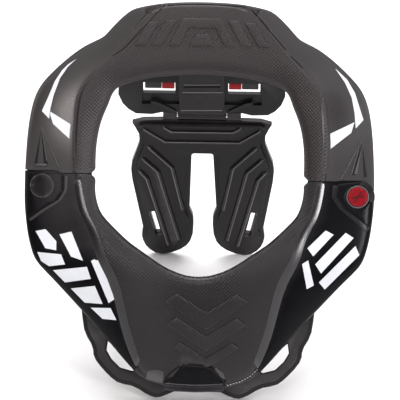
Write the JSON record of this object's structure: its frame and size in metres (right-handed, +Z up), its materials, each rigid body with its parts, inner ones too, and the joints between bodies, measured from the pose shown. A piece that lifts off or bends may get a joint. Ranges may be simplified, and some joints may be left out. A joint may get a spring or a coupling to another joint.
{
  "type": "motocross neck brace",
  "caption": "Motocross neck brace: a hinged collar in front and rear halves on body pads, with a chest rest below the front half and folding back fins below the rear half.",
  "frame": {"origin": "centre of the bounding box at the level of the surface the brace stands on", "axes": "+X to the wearer's left, which is the viewer's right when the chest rest faces the viewer, -Y from the back fins towards the chest rest, +Z up"},
  "size_m": [0.2932, 0.2254, 0.2998],
  "materials": {
    "weave_plastic": "fine diagonal weave, satin",
    "gloss_cover": "gloss with white graphics",
    "moulded_plastic": "satin",
    "foam": "matte foam",
    "red_plastic": "gloss",
    "steel": "brushed"
  },
  "bodies": {
    "rear_collar": {"rear_chassis": "weave_plastic", "rear_panel_left": "gloss_cover", "rear_panel_right": "gloss_cover", "shoulder_pad_left": "foam", "shoulder_pad_right": "foam", "hub_arm": "moulded_plastic", "catch_tongue": "moulded_plastic", "thoracic_bracket": "moulded_plastic", "adjuster_block_left": "moulded_plastic", "adjuster_block_right": "moulded_plastic", "adjuster_pin_left": "red_plastic", "adjuster_pin_right": "red_plastic", "strut_hinge_pin": "steel"},
    "front_collar": {"front_chassis": "weave_plastic", "front_panel_left": "gloss_cover", "front_panel_right": "gloss_cover", "catch_cap": "moulded_plastic", "hub_ring": "moulded_plastic", "collarbone_pad_left": "foam", "collarbone_pad_right": "foam", "chest_frame": "moulded_plastic", "chest_foam": "foam", "chest_badge": "gloss_cover"},
    "button": {"release_button": "red_plastic"},
    "thoracic_fins": {"fin_plate": "moulded_plastic", "fin_pad": "foam"}
  },
  "joints": [
    {"name": "front_swing", "type": "hinge", "parent": "rear_collar", "child": "front_collar", "pos_m": [0.13284, -0.03325, 0.17036], "axis": [0, -0.8024, 0.5967], "range_deg": [0, 35]},
    {"name": "button_press", "type": "slide", "parent": "front_collar", "child": "button", "axis": [0, 0.8024, -0.5967], "range_m": [0, 0.002], "stiffness_N_per_m": 800},
    {"name": "fin_fold", "type": "hinge", "parent": "rear_collar", "child": "thoracic_fins", "pos_m": [0.00004, 0.06411, 0.18257], "axis": [-1, 0, 0], "range_deg": [0, 45]}
  ]
}
